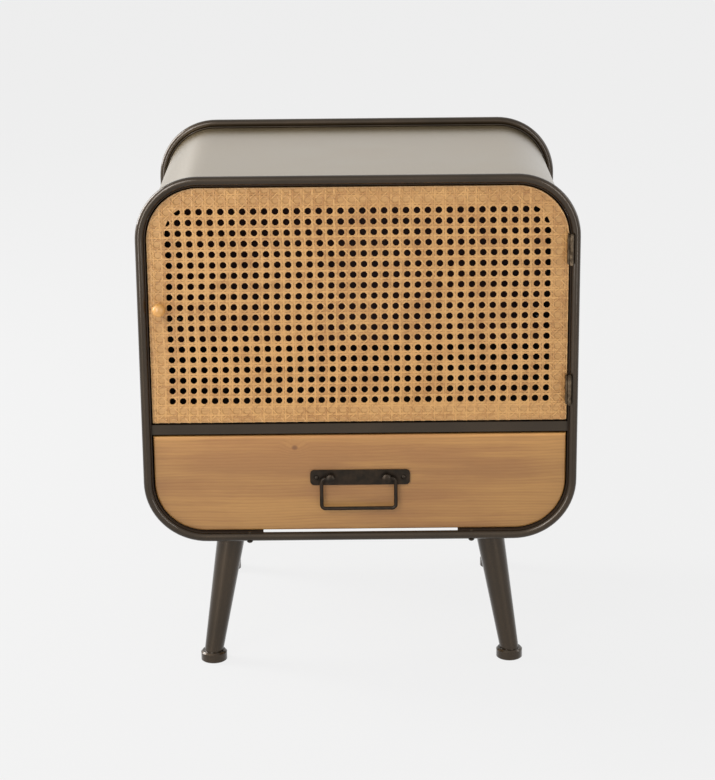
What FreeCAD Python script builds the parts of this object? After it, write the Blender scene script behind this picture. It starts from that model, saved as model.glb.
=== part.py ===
import FreeCAD, Part
import math
import os

# Storage side table: a rolled steel shell between two round-bar rings, on four splayed legs,
# with a hinged cane door above a fir drawer that has a drop pull.
# Millimetres. X runs to the right, Y to the back, Z up. The origin is on the floor, in the
# middle of the outline seen from above, with the door knob counted in.

V = FreeCAD.Vector

# ---------------------------------------------------------------- body
width = 520.0               # over the outsides of the rings
body_height = 448.0         # underside to top of the rings
leg_rise = 168.0            # floor to underside of the rings
ring_spacing = 382.0        # front ring to rear ring, centre to centre
corner_radius = 75.0        # outside corner of a ring
ring_diameter = 10.5        # round bar
sheet = 1.0                 # steel sheet of the shell and the divider
shell_overhang = 1.5        # sheet edge past the centre plane of a ring
shell_return = 67.4         # flat part of the shell under each side, up to the open strip in the middle
weld_gap = 0.1              # between welded pieces
thread_gap = 0.05           # round a screw in its hole
clear_gap = 0.3             # round a bolt in its hole

# ---------------------------------------------------------------- door and drawer fronts
face_setback = 9.0          # faces of door and drawer behind the front of the ring
reveal = 1.4                # door or drawer to shell, at the sides
door_top_reveal = 3.0       # door to shell, above
door_rail_reveal = 1.7      # door to the rail below it
drawer_rail_reveal = 3.1    # drawer front to the rail above it
drawer_low_reveal = 0.5     # drawer front to shell, below
drawer_corner_less = 1.0    # radius of the drawer's lower corners less than that of the door's upper ones
rail_height = 12.0
rail_thickness = 4.0
rail_setback = 7.5          # face of the rail behind the front of the ring
rail_above_ring = 146.8     # top of the rail above the underside of the ring

# ---------------------------------------------------------------- door
web_thickness = 1.5         # woven cane, glued over the whole face
door_frame_thickness = 16.0
door_border = 21.2          # width of the wooden frame at its face
opening_corner = 34.0       # upper corners of the opening in the wooden frame
opening_lip = 4.0           # square edge of the opening, from the face back to where the bevel starts
opening_bevel = 3.8         # opening larger at the frame's back than at its face, each side
web_pitch_x = 12.7          # hole to hole across
web_pitch_z = 12.75         # hole to hole up
web_hole = 7.2              # hole diameter
web_drop = 0.6              # middle row of holes below the middle of the opening
web_margin = 1.0            # a hole may lie this far past the edge of the opening
knob_ball = 16.0            # turned wooden knob
knob_length = 20.0
knob_neck = 8.0
knob_foot = 10.4
knob_lip = 1.0              # straight rim of the knob's foot
knob_flare = 0.4            # neck widens this much, on the radius, where the ball sits on it
knob_from_edge = 13.0       # from the door's free edge
knob_above_bottom = 142.7   # from the door's lower edge
knob_screw = 4.0
knob_screw_bite = 9.0       # screw length inside the knob
screw_head_height = 2.2
screw_head = 8.0

# ---------------------------------------------------------------- door hinges
hinge_length = 35.0
hinge_leaf = 1.5            # door leaf thickness
hinge_frame_leaf = 1.0      # frame leaf thickness
hinge_leaf_reach = 13.5     # leaf behind the door's face
hinge_barrel = 5.2          # barrel diameter
hinge_leaf_play = 0.15      # door leaf to the frame leaf's barrels
hinge_pin = 2.4
hinge_play = 0.05           # pin in barrel, on the radius
barrel_gap = 0.25           # between the barrels along the pin
hinge_outboard = 0.5        # pin axis outside the inner face of the shell
hinge_forward = 6.6         # pin axis ahead of the centre plane of the front ring
hinge_below_top = 74.9      # middle of the upper hinge below the door's top
hinge_above_bottom = 39.7   # middle of the lower hinge above the door's bottom
hinge_screw = 3.0
hinge_screw_length = 13.0
hinge_screw_spacing = 20.0
pin_head = 1.2              # height of the pin's head

# ---------------------------------------------------------------- door catch
catch_length = 40.0
catch_depth = 12.0
catch_height = 12.5
catch_from_side = 24.0      # from the shell's inner wall
catch_screw = 3.0
catch_screw_spacing = 28.0
catch_screw_tip = 5.0       # below the divider
strike_height = 14.0
strike_thickness = 1.0
strike_screw_length = 10.0
catch_play = 0.3            # between catch and strike

# ---------------------------------------------------------------- drawer
front_thickness = 18.0
front_round = 2.0           # rounding of the drawer front's edges
side_thickness = 12.0
box_height = 85.0
box_rear_space = 26.0       # drawer box to back panel
box_lift = 26.0             # box above the lower edge of the drawer front
bottom_thickness = 4.0
bottom_lift = 6.0           # bottom panel above the lower edge of the box
groove_depth = 5.0
groove_play = 0.2
runner_space = 13.4         # shell wall to side of the drawer box
channel_height = 30.0
channel_wall = 1.2
channel_depth = 10.0
channel_shortfall = 20.0    # channel shorter than the drawer box
channel_above_box = 37.0    # lower edge of the channel above the lower edge of the box
channel_setback = 2.0       # front end of the channel behind the drawer front
runner_play = 0.3           # runner strip to channel, above and below
runner_side_play = 0.6
runner_screw = 3.5
runner_screw_count = 3
runner_screw_bite = 8.0
dowel = 6.0
dowel_length = 28.0         # of a front dowel; it stands in the drawer front and in a side
dowel_in_front = 11.0
dowel_spacing = 50.0
dowel_play = 0.05           # on the radius

# ---------------------------------------------------------------- drop pull
pull_length = 120.0
pull_height = 18.8
pull_plate = 2.0
pull_corner = 5.0
pull_above_middle = 6.85    # above the middle of the drawer front
pull_screw_spacing = 105.0
pull_screw = 3.2
pull_screw_head = 6.6
pull_screw_length = 14.0
bail_offset = -1.8          # posts and bail sit a little to the left on the plate
post_spacing = 67.5
post_diameter = 11.0
post_reach = 8.6            # in front of the plate
post_dome = 1.6
post_spigot = 6.0
bail_wire = 4.4
bail_play = 0.1             # wire in post, on the radius
bail_beside_post = 10.85    # middle of a leg of the bail outside the middle of its post
bail_drop = 37.6
bail_ahead = 4.55           # wire axis in front of the plate
bail_bend_low = 4.5
bail_bend_high = 4.6

# ---------------------------------------------------------------- legs
foot_from_side = (76.5, 79.5)   # middle of a front and of a rear foot inside the side of the ring
foot_inset = 32.9           # middle of a foot inside the centre plane of its ring
splay_sideways = 9.5        # degrees
splay_endways = 7.0         # degrees
leg_top_diameter = 35.5
leg_bottom_diameter = 23.0
leg_wall = 1.5
foot_diameter = 32.2
foot_height = 12.5
foot_chamfer_high = 2.0
foot_chamfer_low = 1.0
foot_spigot_diameter = 13.0
foot_spigot_height = 12.0
plate_size = 60.0
plate_thickness = 3.0
plate_corner = 8.0
plate_bolt_spacing = 46.0
leg_bolt = 5.0
leg_bolt_head = 9.5
leg_bolt_head_height = 2.75
leg_bolt_tip = 1.0          # past the nut
leg_nut = 8.0               # across the flats
leg_nut_height = 4.0
ring_screw_inset = 16.4     # screws through the rings into the shell, from the edge of the open strip
ring_screw = 4.0
ring_screw_head = 8.0
ring_screw_head_height = 3.0

# ---------------------------------------------------------------- back
back_inset = 14.0           # back panel ahead of the centre plane of the rear ring
back_thickness = 3.0
back_gap = 0.5
tab_size = 20.0
tab_reach = 15.0
tab_thickness = 1.5
tab_from_corner = 30.0      # edge of a tab to the start of a rounded corner
tab_above_rail = 25.0
back_screw = 3.5
back_screw_head = 7.0
back_screw_inset = 8.5
back_screw_tip = 3.0

# ---------------------------------------------------------------- places worked out from these
ring_radius = ring_diameter / 2
total_height = leg_rise + body_height
rail_top = leg_rise + rail_above_ring
slot_x = width / 2 - corner_radius - shell_return
front_plane = (knob_length - face_setback - ring_spacing) / 2
rear_plane = front_plane + ring_spacing
ring_front = front_plane - ring_radius
face_y = ring_front + face_setback
shell_inset = ring_diameter + weld_gap
wall_inset = shell_inset + sheet
wall_x = width / 2 - wall_inset
floor_z = leg_rise + wall_inset
shell_front = front_plane - shell_overhang
shell_back = rear_plane + shell_overhang
shell_under = leg_rise + shell_inset
back_y = rear_plane - back_inset
side_x = wall_x - reveal
door_top = total_height - wall_inset - door_top_reveal
door_low = rail_top + door_rail_reveal
frame_y = face_y + web_thickness
door_back = frame_y + door_frame_thickness
drawer_low = floor_z + drawer_low_reveal
drawer_top = rail_top - rail_height - drawer_rail_reveal
front_back = face_y + front_thickness
door_corner = corner_radius - wall_inset - reveal
drawer_corner = door_corner - drawer_corner_less
DIAGONAL = 1 - math.cos(math.pi / 4)

ALONG_X = V(1, 0, 0)
ALONG_Y = V(0, 1, 0)
ALONG_Z = V(0, 0, 1)

os.makedirs("parts", exist_ok=True)


# ---------------------------------------------------------------- shapes used by many pieces
def save(name, shape):
    """Write one piece, or one group of like pieces, to its own file."""
    shape.exportStep("parts/" + name + ".step")


def block(x0, x1, y0, y1, z0, z1):
    return Part.makeBox(x1 - x0, y1 - y0, z1 - z0, V(x0, y0, z0))


def rod(start, direction, diameter, length):
    return Part.makeCylinder(diameter / 2, length, start, direction)


def corner_points(x, z, inward_x, inward_z, radius, y):
    """Where a rounded corner leaves its two sides, and the middle of its arc."""
    on_upright = V(x, y, z + inward_z * radius)
    on_level = V(x + inward_x * radius, y, z)
    middle = V(x + inward_x * radius * DIAGONAL, y, z + inward_z * radius * DIAGONAL)
    return on_upright, on_level, middle


def outline(x0, x1, z0, z1, radii, y):
    """Closed outline in the plane y. Radii: low left, low right, high right, high left."""
    low_left = corner_points(x0, z0, 1, 1, radii[0], y)
    low_right = corner_points(x1, z0, -1, 1, radii[1], y)
    high_right = corner_points(x1, z1, -1, -1, radii[2], y)
    high_left = corner_points(x0, z1, 1, -1, radii[3], y)
    corners = [
        (low_left[0], low_left[2], low_left[1]),
        (low_right[1], low_right[2], low_right[0]),
        (high_right[0], high_right[2], high_right[1]),
        (high_left[1], high_left[2], high_left[0]),
    ]
    edges = []
    for index, (arrive, middle, leave) in enumerate(corners):
        if radii[index] > 0:
            edges.append(Part.Arc(arrive, middle, leave).toShape())
        following = corners[(index + 1) % 4][0]
        edges.append(Part.LineSegment(leave, following).toShape())
    return Part.Wire(edges)


def panel(x0, x1, z0, z1, radii, y0, y1):
    """Flat board or sheet with rounded corners, from y0 to y1."""
    wire = outline(x0, x1, z0, z1, radii, y0)
    return Part.Face(wire).extrude(V(0, y1 - y0, 0))


def hull_outline(inset, y):
    """Outline of the body, a given distance inside the outsides of the rings."""
    half = width / 2 - inset
    radius = corner_radius - inset
    return outline(-half, half, leg_rise + inset, total_height - inset, (radius,) * 4, y)


def turned(edges, point, direction):
    """Solid turned about an axis through the point. The profile is drawn in X and Z, Z along the axis."""
    body = Part.Face(Part.Wire(edges)).revolve(V(0, 0, 0), ALONG_Z, 360)
    body.Placement = FreeCAD.Placement(point, FreeCAD.Rotation(ALONG_Z, direction))
    return body


def polyline(points):
    """Straight edges through points given as radius and height."""
    corners = [V(radius, 0, height) for radius, height in points]
    return [Part.LineSegment(start, end).toShape() for start, end in zip(corners, corners[1:])]


def dome(radius, height, base, way):
    """Profile of a shallow dome, from its tip on the axis out to its rim at the height of its base."""
    sphere = (radius * radius + height * height) / (2 * height)
    half_angle = math.asin(radius / sphere) / 2
    centre = base + way * (height - sphere)
    tip = V(0, 0, base + way * height)
    middle = V(sphere * math.sin(half_angle), 0, centre + way * sphere * math.cos(half_angle))
    return Part.Arc(tip, middle, V(radius, 0, base)).toShape()


def countersunk(point, direction, diameter, head, head_height, length):
    """Countersunk screw whose flat head lies in the surface at the point."""
    profile = polyline([(0, 0), (head / 2, 0), (diameter / 2, head_height), (diameter / 2, length),
                        (0, length), (0, 0)])
    return turned(profile, point, direction)


def domed_screw(point, direction, diameter, head, head_height, length):
    """Round-headed screw: the head stands on the surface at the point."""
    profile = [dome(head / 2, head_height, 0, -1)]
    profile += polyline([(head / 2, 0), (diameter / 2, 0), (diameter / 2, length), (0, length),
                         (0, -head_height)])
    return turned(profile, point, direction)


def group(solids):
    return Part.makeCompound(solids)


# ---------------------------------------------------------------- rings
def ring_screw_places():
    x = slot_x + ring_screw_inset
    return [(side * x, plane) for plane in (front_plane, rear_plane) for side in (-1, 1)]


def ring(plane):
    """Round bar bent to a closed ring, with holes for the two screws under it."""
    path = hull_outline(ring_radius, plane)
    start = V(width / 2 - ring_radius, plane, leg_rise + body_height / 2)
    section = Part.Wire(Part.Circle(start, ALONG_Z, ring_radius).toShape())
    body = path.makePipeShell([section], True, False)
    hole = ring_screw + 2 * thread_gap
    for x, y in ring_screw_places():
        if y == plane:
            body = body.cut(rod(V(x, y, leg_rise - sheet), ALONG_Z, hole, ring_diameter + 2 * sheet))
    return body


save("ring_front", ring(front_plane))
save("ring_rear", ring(rear_plane))


# ---------------------------------------------------------------- legs and feet
plate_under = shell_under - plate_thickness
lean_x = math.tan(math.radians(splay_sideways))
lean_y = math.tan(math.radians(splay_endways))
leg_height = plate_under - foot_height
LEGS = (
    ("front_left", -1, -1),
    ("front_right", 1, -1),
    ("rear_left", -1, 1),
    ("rear_right", 1, 1),
)


def foot_place(side, end):
    """Middle of a foot on the floor."""
    if end < 0:
        return V(side * (width / 2 - foot_from_side[0]), front_plane + foot_inset, 0)
    return V(side * (width / 2 - foot_from_side[1]), rear_plane - foot_inset, 0)


def leg_top(side, end):
    """Where the middle of a leg meets the underside of its plate."""
    lean = V(-side * lean_x, -end * lean_y, 1)
    return foot_place(side, end) + V(0, 0, foot_height) + lean * leg_height


def bolt_places(side, end):
    top = leg_top(side, end)
    half = plate_bolt_spacing / 2
    return [(top.x + u * half, top.y + w * half) for u in (-1, 1) for w in (-1, 1)]


def leg(side, end):
    """Tapered tube, cut level at both ends, welded under its plate."""
    bottom = foot_place(side, end) + V(0, 0, foot_height)
    top = leg_top(side, end)
    along = (top - bottom).normalize()
    length = (top - bottom).Length
    taper = (leg_top_diameter - leg_bottom_diameter) / 2 / length
    spare = leg_top_diameter / 2
    low = leg_bottom_diameter / 2 - taper * spare
    high = leg_top_diameter / 2 + taper * spare
    start = bottom - along * spare
    outer = Part.makeCone(low, high, length + 2 * spare, start, along)
    inner = Part.makeCone(low - leg_wall, high - leg_wall, length + 2 * spare, start, along)
    reach = leg_height + leg_top_diameter
    middle = (top + bottom) * 0.5
    level = block(middle.x - reach, middle.x + reach, middle.y - reach, middle.y + reach,
                  foot_height, plate_under)
    return outer.cut(inner).common(level)


def foot(side, end):
    """Turned steel foot; its spigot stands inside the end of the leg."""
    radius = foot_diameter / 2
    spigot = foot_spigot_diameter / 2
    spigot_top = foot_height + foot_spigot_height
    profile = polyline([
        (0, 0),
        (radius - foot_chamfer_low, 0),
        (radius, foot_chamfer_low),
        (radius, foot_height - foot_chamfer_high),
        (radius - foot_chamfer_high, foot_height),
        (spigot, foot_height),
        (spigot, spigot_top),
        (0, spigot_top),
        (0, 0),
    ])
    return turned(profile, foot_place(side, end), ALONG_Z)


def leg_plate(side, end):
    """Square plate with rounded corners, bolted under the shell."""
    top = leg_top(side, end)
    half = plate_size / 2
    plate = panel(-half, half, -half, half, (plate_corner,) * 4, -plate_thickness, 0)
    plate.rotate(V(0, 0, 0), ALONG_X, -90)
    plate.translate(V(top.x, top.y, shell_under - plate_thickness))
    for x, y in bolt_places(side, end):
        hole = rod(V(x, y, plate_under - sheet), ALONG_Z, leg_bolt + clear_gap,
                   plate_thickness + 2 * sheet)
        plate = plate.cut(hole)
    return plate


def leg_bolt_solid(x, y):
    """Bolt with its domed head under the plate and its tip past the nut."""
    length = plate_thickness + sheet + leg_nut_height + leg_bolt_tip
    return domed_screw(V(x, y, plate_under), ALONG_Z, leg_bolt, leg_bolt_head,
                       leg_bolt_head_height, length)


def leg_nut_solid(x, y):
    """Hexagon nut on the floor of the shell."""
    radius = leg_nut / 2 / math.cos(math.pi / 6)
    points = []
    for corner in range(7):
        angle = corner * math.pi / 3
        points.append(V(x + radius * math.cos(angle), y + radius * math.sin(angle), floor_z))
    body = Part.Face(Part.makePolygon(points)).extrude(V(0, 0, leg_nut_height))
    hole = rod(V(x, y, floor_z - sheet), ALONG_Z, leg_bolt + 2 * thread_gap, leg_nut_height + 2 * sheet)
    return body.cut(hole)


leg_bolts = []
leg_nuts = []
for name, side, end in LEGS:
    save("leg_" + name, leg(side, end))
    save("foot_" + name, foot(side, end))
    save("leg_plate_" + name, leg_plate(side, end))
    for x, y in bolt_places(side, end):
        leg_bolts.append(leg_bolt_solid(x, y))
        leg_nuts.append(leg_nut_solid(x, y))
save("leg_bolts", group(leg_bolts))
save("leg_nuts", group(leg_nuts))


# ---------------------------------------------------------------- shell
def open_loop(inset, y):
    """The body's outline at an inset, open along the slot in its underside."""
    half = width / 2 - inset
    radius = corner_radius - inset
    low = leg_rise + inset
    high = total_height - inset
    low_right = corner_points(half, low, -1, 1, radius, y)
    high_right = corner_points(half, high, -1, -1, radius, y)
    high_left = corner_points(-half, high, 1, -1, radius, y)
    low_left = corner_points(-half, low, 1, 1, radius, y)
    return [
        Part.LineSegment(V(slot_x, y, low), low_right[1]).toShape(),
        Part.Arc(low_right[1], low_right[2], low_right[0]).toShape(),
        Part.LineSegment(low_right[0], high_right[0]).toShape(),
        Part.Arc(high_right[0], high_right[2], high_right[1]).toShape(),
        Part.LineSegment(high_right[1], high_left[1]).toShape(),
        Part.Arc(high_left[1], high_left[2], high_left[0]).toShape(),
        Part.LineSegment(high_left[0], low_left[0]).toShape(),
        Part.Arc(low_left[0], low_left[2], low_left[1]).toShape(),
        Part.LineSegment(low_left[1], V(-slot_x, y, low)).toShape(),
    ]


def shell():
    """Sheet rolled round all four corners, inside the rings."""
    outer = open_loop(shell_inset, shell_front)
    inner = open_loop(wall_inset, shell_front)
    ends = {}
    for side in (-1, 1):
        lower = V(side * slot_x, shell_front, shell_under)
        upper = V(side * slot_x, shell_front, floor_z)
        ends[side] = [Part.LineSegment(lower, upper).toShape()]
    inner.reverse()
    wire = Part.Wire(outer + ends[-1] + inner + ends[1])
    body = Part.Face(wire).extrude(V(0, shell_back - shell_front, 0))
    below = shell_under - sheet
    for name, side, end in LEGS:
        for x, y in bolt_places(side, end):
            body = body.cut(rod(V(x, y, below), ALONG_Z, leg_bolt + clear_gap, 3 * sheet))
    for x, y in ring_screw_places():
        body = body.cut(rod(V(x, y, below), ALONG_Z, ring_screw + 2 * thread_gap, 3 * sheet))
    return body


def ring_screw_solid(x, y):
    length = ring_diameter + weld_gap + sheet
    return domed_screw(V(x, y, leg_rise), ALONG_Z, ring_screw, ring_screw_head,
                       ring_screw_head_height, length)


save("cabinet_shell", shell())
save("ring_screws", group([ring_screw_solid(x, y) for x, y in ring_screw_places()]))


# ---------------------------------------------------------------- rail and divider
rail_y = ring_front + rail_setback
rail_low = rail_top - rail_height
inside_x = wall_x - weld_gap
catch_x0 = -wall_x + catch_from_side
catch_x = catch_x0 + catch_length / 2
catch_y = door_back + strike_thickness + catch_play
catch_screws = [V(catch_x + u * catch_screw_spacing / 2, catch_y + catch_depth / 2, 0) for u in (-1, 1)]


def divider():
    """Sheet floor of the cupboard, with a flange turned down at each side."""
    front = rail_y + rail_thickness + weld_gap
    back = back_y - weld_gap
    tray = block(-inside_x, inside_x, front, back, rail_low, rail_top)
    hollow = block(-inside_x + sheet, inside_x - sheet, front - sheet, back + sheet,
                   rail_low - sheet, rail_top - sheet)
    body = tray.cut(hollow)
    for place in catch_screws:
        hole = rod(V(place.x, place.y, rail_top - 2 * sheet), ALONG_Z, catch_screw + 2 * thread_gap,
                   3 * sheet)
        body = body.cut(hole)
    return body


save("middle_rail", block(-inside_x, inside_x, rail_y, rail_y + rail_thickness, rail_low, rail_top))
save("divider_panel", divider())


# ---------------------------------------------------------------- back panel
tab_corner = corner_radius + tab_from_corner + tab_size / 2
back_tab_places = []
for height in (rail_top + tab_above_rail + tab_size / 2, total_height - tab_corner):
    back_tab_places.append((V(wall_x, 0, height), 0))
    back_tab_places.append((V(-wall_x, 0, height), 180))
for side in (-1, 1):
    back_tab_places.append((V(side * (width / 2 - tab_corner), 0, total_height - wall_inset), -90))


def placed_on_wall(shape, wall, turn):
    """Turn a piece made for the right-hand wall round the Y axis, and move it to its wall."""
    shape.rotate(V(0, 0, 0), ALONG_Y, turn)
    shape.translate(V(wall.x, 0, wall.z))
    return shape


def back_tab(wall, turn):
    """Angle tab: one wing on the shell, the other behind the back panel's edge."""
    half = tab_size / 2
    on_wall = block(-weld_gap - tab_thickness, -weld_gap, back_y - tab_reach, back_y, -half, half)
    on_panel = block(-weld_gap - tab_reach, -weld_gap, back_y - tab_thickness, back_y, -half, half)
    hole = rod(V(-back_screw_inset, back_y - tab_reach, 0), ALONG_Y, back_screw + 2 * thread_gap,
               2 * tab_reach)
    tab = on_wall.fuse(on_panel).removeSplitter().cut(hole)
    return placed_on_wall(tab, wall, turn)


def back_screw_solid(wall, turn):
    head = V(-back_screw_inset, back_y + back_thickness, 0)
    length = back_thickness + tab_thickness + back_screw_tip
    screw = domed_screw(head, V(0, -1, 0), back_screw, back_screw_head, screw_head_height, length)
    return placed_on_wall(screw, wall, turn)


def back_panel():
    """Thin board inside the rear ring."""
    inset = wall_inset + back_gap
    board = Part.Face(hull_outline(inset, back_y)).extrude(V(0, back_thickness, 0))
    for wall, turn in back_tab_places:
        hole = rod(V(-back_screw_inset, back_y - sheet, 0), ALONG_Y, back_screw + 2 * thread_gap,
                   back_thickness + 2 * sheet)
        board = board.cut(placed_on_wall(hole, wall, turn))
    return board


save("back_panel", back_panel())
save("back_panel_tabs", group([back_tab(wall, turn) for wall, turn in back_tab_places]))
save("back_panel_screws", group([back_screw_solid(wall, turn) for wall, turn in back_tab_places]))


# ---------------------------------------------------------------- door
opening_x = side_x - door_border
opening_low = door_low + door_border
opening_top = door_top - door_border
knob_x = -side_x + knob_from_edge
knob_z = door_low + knob_above_bottom
hinge_x = wall_x + hinge_outboard
hinge_y = front_plane - hinge_forward
leaf_outer_x = hinge_x - hinge_barrel / 2 - hinge_leaf_play
leaf_inner_x = leaf_outer_x - hinge_leaf
HINGES = (
    ("upper", door_top - hinge_below_top),
    ("lower", door_low + hinge_above_bottom),
)


def door_outline(y):
    return outline(-side_x, side_x, door_low, door_top, (0, 0, door_corner, door_corner), y)


def hinge_gain(middle_z):
    """Space cut out of the door's edge for a hinge leaf."""
    half = hinge_length / 2 + 2 * barrel_gap
    return block(leaf_inner_x - thread_gap, side_x + sheet, face_y - sheet, door_back + sheet,
                 middle_z - half, middle_z + half)


def hinge_screw_places(middle_z):
    middle_y = (face_y + door_back) / 2
    return [V(leaf_outer_x, middle_y, middle_z + w * hinge_screw_spacing / 2) for w in (-1, 1)]


strike_low = door_low + (door_border - opening_bevel - strike_height) / 2
strike_hole = V(catch_x, door_back, strike_low + strike_height / 2)


def opening_outline(grown, y):
    """Edge of the frame's opening, moved outwards all round by a given distance."""
    radius = opening_corner + grown
    return outline(-opening_x - grown, opening_x + grown, opening_low - grown, opening_top + grown,
                   (0, 0, radius, radius), y)


def opening_solid():
    """What is cut out of the frame: straight through the lip, then widening to the back."""
    lip_y = frame_y + opening_lip
    lip = Part.Face(opening_outline(0, frame_y - sheet)).extrude(V(0, sheet + opening_lip, 0))
    bevel = Part.makeLoft([opening_outline(0, lip_y), opening_outline(opening_bevel, door_back)], True, True)
    return lip.fuse(bevel)


def door_frame():
    """Wooden frame with rounded upper corners and one large opening, bevelled towards the back."""
    board = Part.Face(door_outline(frame_y)).extrude(V(0, door_frame_thickness, 0))
    board = board.cut(opening_solid())
    board = board.cut(rod(V(knob_x, frame_y - sheet, knob_z), ALONG_Y, knob_screw + 2 * thread_gap,
                          door_frame_thickness + 2 * sheet))
    board = board.cut(rod(strike_hole, V(0, -1, 0), catch_screw + 2 * thread_gap, strike_screw_length))
    for name, middle_z in HINGES:
        board = board.cut(hinge_gain(middle_z))
        for place in hinge_screw_places(middle_z):
            board = board.cut(rod(place, V(-1, 0, 0), hinge_screw + 2 * thread_gap,
                                  hinge_screw_length + hinge_leaf))
    return board


def inside_opening(x, z):
    """Whether a hole of the web opens into the opening of the frame, not onto the wood."""
    if abs(x) > opening_x + web_margin or not opening_low <= z <= opening_top:
        return False
    past_x = abs(x) - (opening_x - opening_corner)
    past_z = z - (opening_top - opening_corner)
    if past_x <= 0 or past_z <= 0:
        return True
    return math.hypot(past_x, past_z) <= opening_corner + web_margin


def web_holes():
    """Middles of the open holes: a square pattern, centred between two columns."""
    middle_z = (opening_low + opening_top) / 2 - web_drop
    columns = int(opening_x / web_pitch_x) + 1
    rows = int((opening_top - opening_low) / 2 / web_pitch_z) + 1
    places = []
    for column in range(-columns, columns):
        for row in range(-rows, rows + 1):
            x = (column + 0.5) * web_pitch_x
            z = middle_z + row * web_pitch_z
            if inside_opening(x, z):
                places.append((x, z))
    return places


def cane_web():
    """Cane webbing over the whole face of the door, with its open holes."""
    wires = [door_outline(face_y)]
    for x, z in web_holes():
        wires.append(Part.Wire(Part.Circle(V(x, face_y, z), ALONG_Y, web_hole / 2).toShape()))
    face = Part.makeFace(wires, "Part::FaceMakerBullseye")
    web = face.extrude(V(0, web_thickness, 0))
    web = web.cut(rod(V(knob_x, face_y - sheet, knob_z), ALONG_Y, knob_screw + 2 * thread_gap,
                      web_thickness + 2 * sheet))
    for name, middle_z in HINGES:
        web = web.cut(hinge_gain(middle_z))
    return web


def knob():
    """Turned knob: a ball on a waisted neck, with a blind hole for its screw."""
    ball = knob_ball / 2
    centre = knob_length - ball
    neck = knob_neck / 2
    join_radius = neck + knob_flare
    join = centre - math.sqrt(ball * ball - join_radius * join_radius)
    rim = V(knob_foot / 2, 0, knob_lip)
    waist = V(neck, 0, (knob_lip + join) / 2)
    start = V(join_radius, 0, join)
    profile = polyline([(0, 0), (rim.x, 0), (rim.x, rim.z)])
    profile.append(Part.Arc(rim, waist, start).toShape())
    profile.append(Part.Arc(start, V(ball, 0, centre), V(0, 0, knob_length)).toShape())
    profile += polyline([(0, knob_length), (0, 0)])
    place = V(knob_x, face_y, knob_z)
    hole = rod(place, V(0, -1, 0), knob_screw + 2 * thread_gap, knob_screw_bite + sheet)
    return turned(profile, place, V(0, -1, 0)).cut(hole)


def knob_screw_solid():
    length = door_back - face_y + knob_screw_bite
    return domed_screw(V(knob_x, door_back, knob_z), V(0, -1, 0), knob_screw, screw_head,
                       screw_head_height, length)


def strike():
    """Steel plate on the back of the door, for the magnet."""
    plate = block(catch_x0, catch_x0 + catch_length, door_back, door_back + strike_thickness,
                  strike_low, strike_low + strike_height)
    return plate.cut(strike_screw())


def strike_screw():
    head = strike_hole + V(0, strike_thickness, 0)
    return countersunk(head, V(0, -1, 0), catch_screw, 2 * catch_screw, strike_thickness,
                       strike_screw_length)


save("door_frame", door_frame())
save("cane_web", cane_web())
save("door_knob", knob())
save("knob_screw", knob_screw_solid())
save("strike_plate", strike())
save("strike_screw", strike_screw())


# ---------------------------------------------------------------- hinges
leaf_back = face_y + hinge_leaf_reach
knuckle = hinge_length / 3
bore = hinge_pin + 2 * hinge_play


def barrel(z0, z1):
    return rod(V(hinge_x, hinge_y, z0), ALONG_Z, hinge_barrel, z1 - z0)


def pin_bore(middle_z):
    return rod(V(hinge_x, hinge_y, middle_z - hinge_length), ALONG_Z, bore, 2 * hinge_length)


def door_leaf(middle_z):
    """Leaf in the gain of the door's edge, rolled round the pin at its middle third."""
    low = middle_z - hinge_length / 2
    high = middle_z + hinge_length / 2
    eye_low = middle_z - knuckle / 2
    eye_high = middle_z + knuckle / 2
    leaf = block(leaf_inner_x, leaf_outer_x, hinge_y, leaf_back, low, high)
    roll = block(leaf_inner_x, hinge_x, hinge_y, hinge_y + hinge_barrel / 2, eye_low, eye_high)
    body = leaf.fuse([roll, barrel(eye_low, eye_high)]).removeSplitter()
    body = body.cut(pin_bore(middle_z))
    for place in hinge_screw_places(middle_z):
        body = body.cut(countersunk(place, V(-1, 0, 0), hinge_screw, 2 * hinge_screw, hinge_leaf,
                                    hinge_screw_length))
    return body


def frame_leaf(middle_z):
    """Leaf welded to the shell's inner wall, rolled round the pin at its outer thirds."""
    outer_x = wall_x - weld_gap
    inner_x = outer_x - hinge_frame_leaf
    low = middle_z - hinge_length / 2
    high = middle_z + hinge_length / 2
    eye_low = middle_z - knuckle / 2 - barrel_gap
    eye_high = middle_z + knuckle / 2 + barrel_gap
    leaf = block(inner_x, outer_x, hinge_y, leaf_back, low, high)
    relief = block(inner_x - sheet, outer_x + sheet, hinge_y - sheet,
                   hinge_y + hinge_barrel / 2 + barrel_gap, eye_low, eye_high)
    leaf = leaf.cut(relief)
    body = leaf.fuse([barrel(low, eye_low), barrel(eye_high, high)]).removeSplitter()
    return body.cut(pin_bore(middle_z))


def pin(middle_z):
    """Pin with a small head at each end."""
    low = middle_z - hinge_length / 2 - pin_head
    high = middle_z + hinge_length / 2
    head_diameter = (hinge_barrel + hinge_pin) / 2
    shank = rod(V(hinge_x, hinge_y, low), ALONG_Z, hinge_pin, high - low + pin_head)
    head = rod(V(hinge_x, hinge_y, high), ALONG_Z, head_diameter, pin_head)
    rivet = rod(V(hinge_x, hinge_y, low), ALONG_Z, head_diameter, pin_head)
    return shank.fuse([head, rivet]).removeSplitter()


hinge_screws = []
for name, middle_z in HINGES:
    save("hinge_door_leaf_" + name, door_leaf(middle_z))
    save("hinge_frame_leaf_" + name, frame_leaf(middle_z))
    save("hinge_pin_" + name, pin(middle_z))
    for place in hinge_screw_places(middle_z):
        hinge_screws.append(countersunk(place, V(-1, 0, 0), hinge_screw, 2 * hinge_screw, hinge_leaf,
                                        hinge_screw_length))
save("hinge_screws", group(hinge_screws))


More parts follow.
